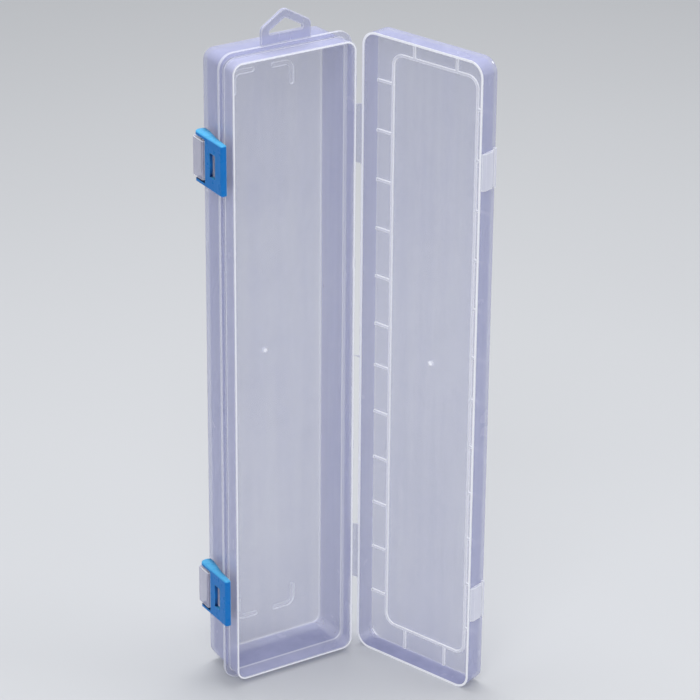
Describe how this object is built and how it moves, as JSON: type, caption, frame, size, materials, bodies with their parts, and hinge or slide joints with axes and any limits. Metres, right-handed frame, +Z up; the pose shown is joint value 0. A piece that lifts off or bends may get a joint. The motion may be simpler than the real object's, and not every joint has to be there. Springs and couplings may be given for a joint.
{
  "type": "hinged brush box",
  "caption": "Long clear plastic brush box with a film-hinged lid held open, blue flap latches on the other side and a hanging loop at the top.",
  "frame": {"origin": "middle of the end edge of the base's flange that the box stands on", "axes": "+Z up the length of the box to the hanging loop, -Y out of the base's opening, +X towards the film hinge, the lid opened to 107.8 degrees from the base"},
  "size_m": [0.1178, 0.0981, 0.3621],
  "materials": {
    "clear_plastic": "clear natural polypropylene, smooth, slightly milky at thick edges",
    "blue_plastic": "translucent blue polypropylene, smooth"
  },
  "bodies": {
    "base": {"base_tray": "clear_plastic", "hanger_loop": "clear_plastic", "upper_latch_bracket": "clear_plastic", "lower_latch_bracket": "clear_plastic", "upper_film_base_half": "clear_plastic", "lower_film_base_half": "clear_plastic", "middle_tie_base_half": "clear_plastic"},
    "lid": {"lid_tray": "clear_plastic", "upper_lid_catch": "clear_plastic", "lower_lid_catch": "clear_plastic", "upper_film_lid_half": "clear_plastic", "lower_film_lid_half": "clear_plastic", "middle_tie_lid_half": "clear_plastic"},
    "upper_latch": {"upper_latch": "blue_plastic"},
    "lower_latch": {"lower_latch": "blue_plastic"}
  },
  "joints": [
    {"name": "lid_hinge", "type": "hinge", "parent": "base", "child": "lid", "pos_m": [0.0405, -0.00075, 0.1725], "axis": [0, 0, 1], "range_deg": [-107.8, 72.2]},
    {"name": "upper_latch_pivot", "type": "hinge", "parent": "base", "child": "upper_latch", "pos_m": [-0.0385, 0.01265, 0.2892], "axis": [0, 0, -1], "range_deg": [-2.5, 135]},
    {"name": "lower_latch_pivot", "type": "hinge", "parent": "base", "child": "lower_latch", "pos_m": [-0.0385, 0.01265, 0.0508], "axis": [0, 0, -1], "range_deg": [-2.5, 135]}
  ]
}
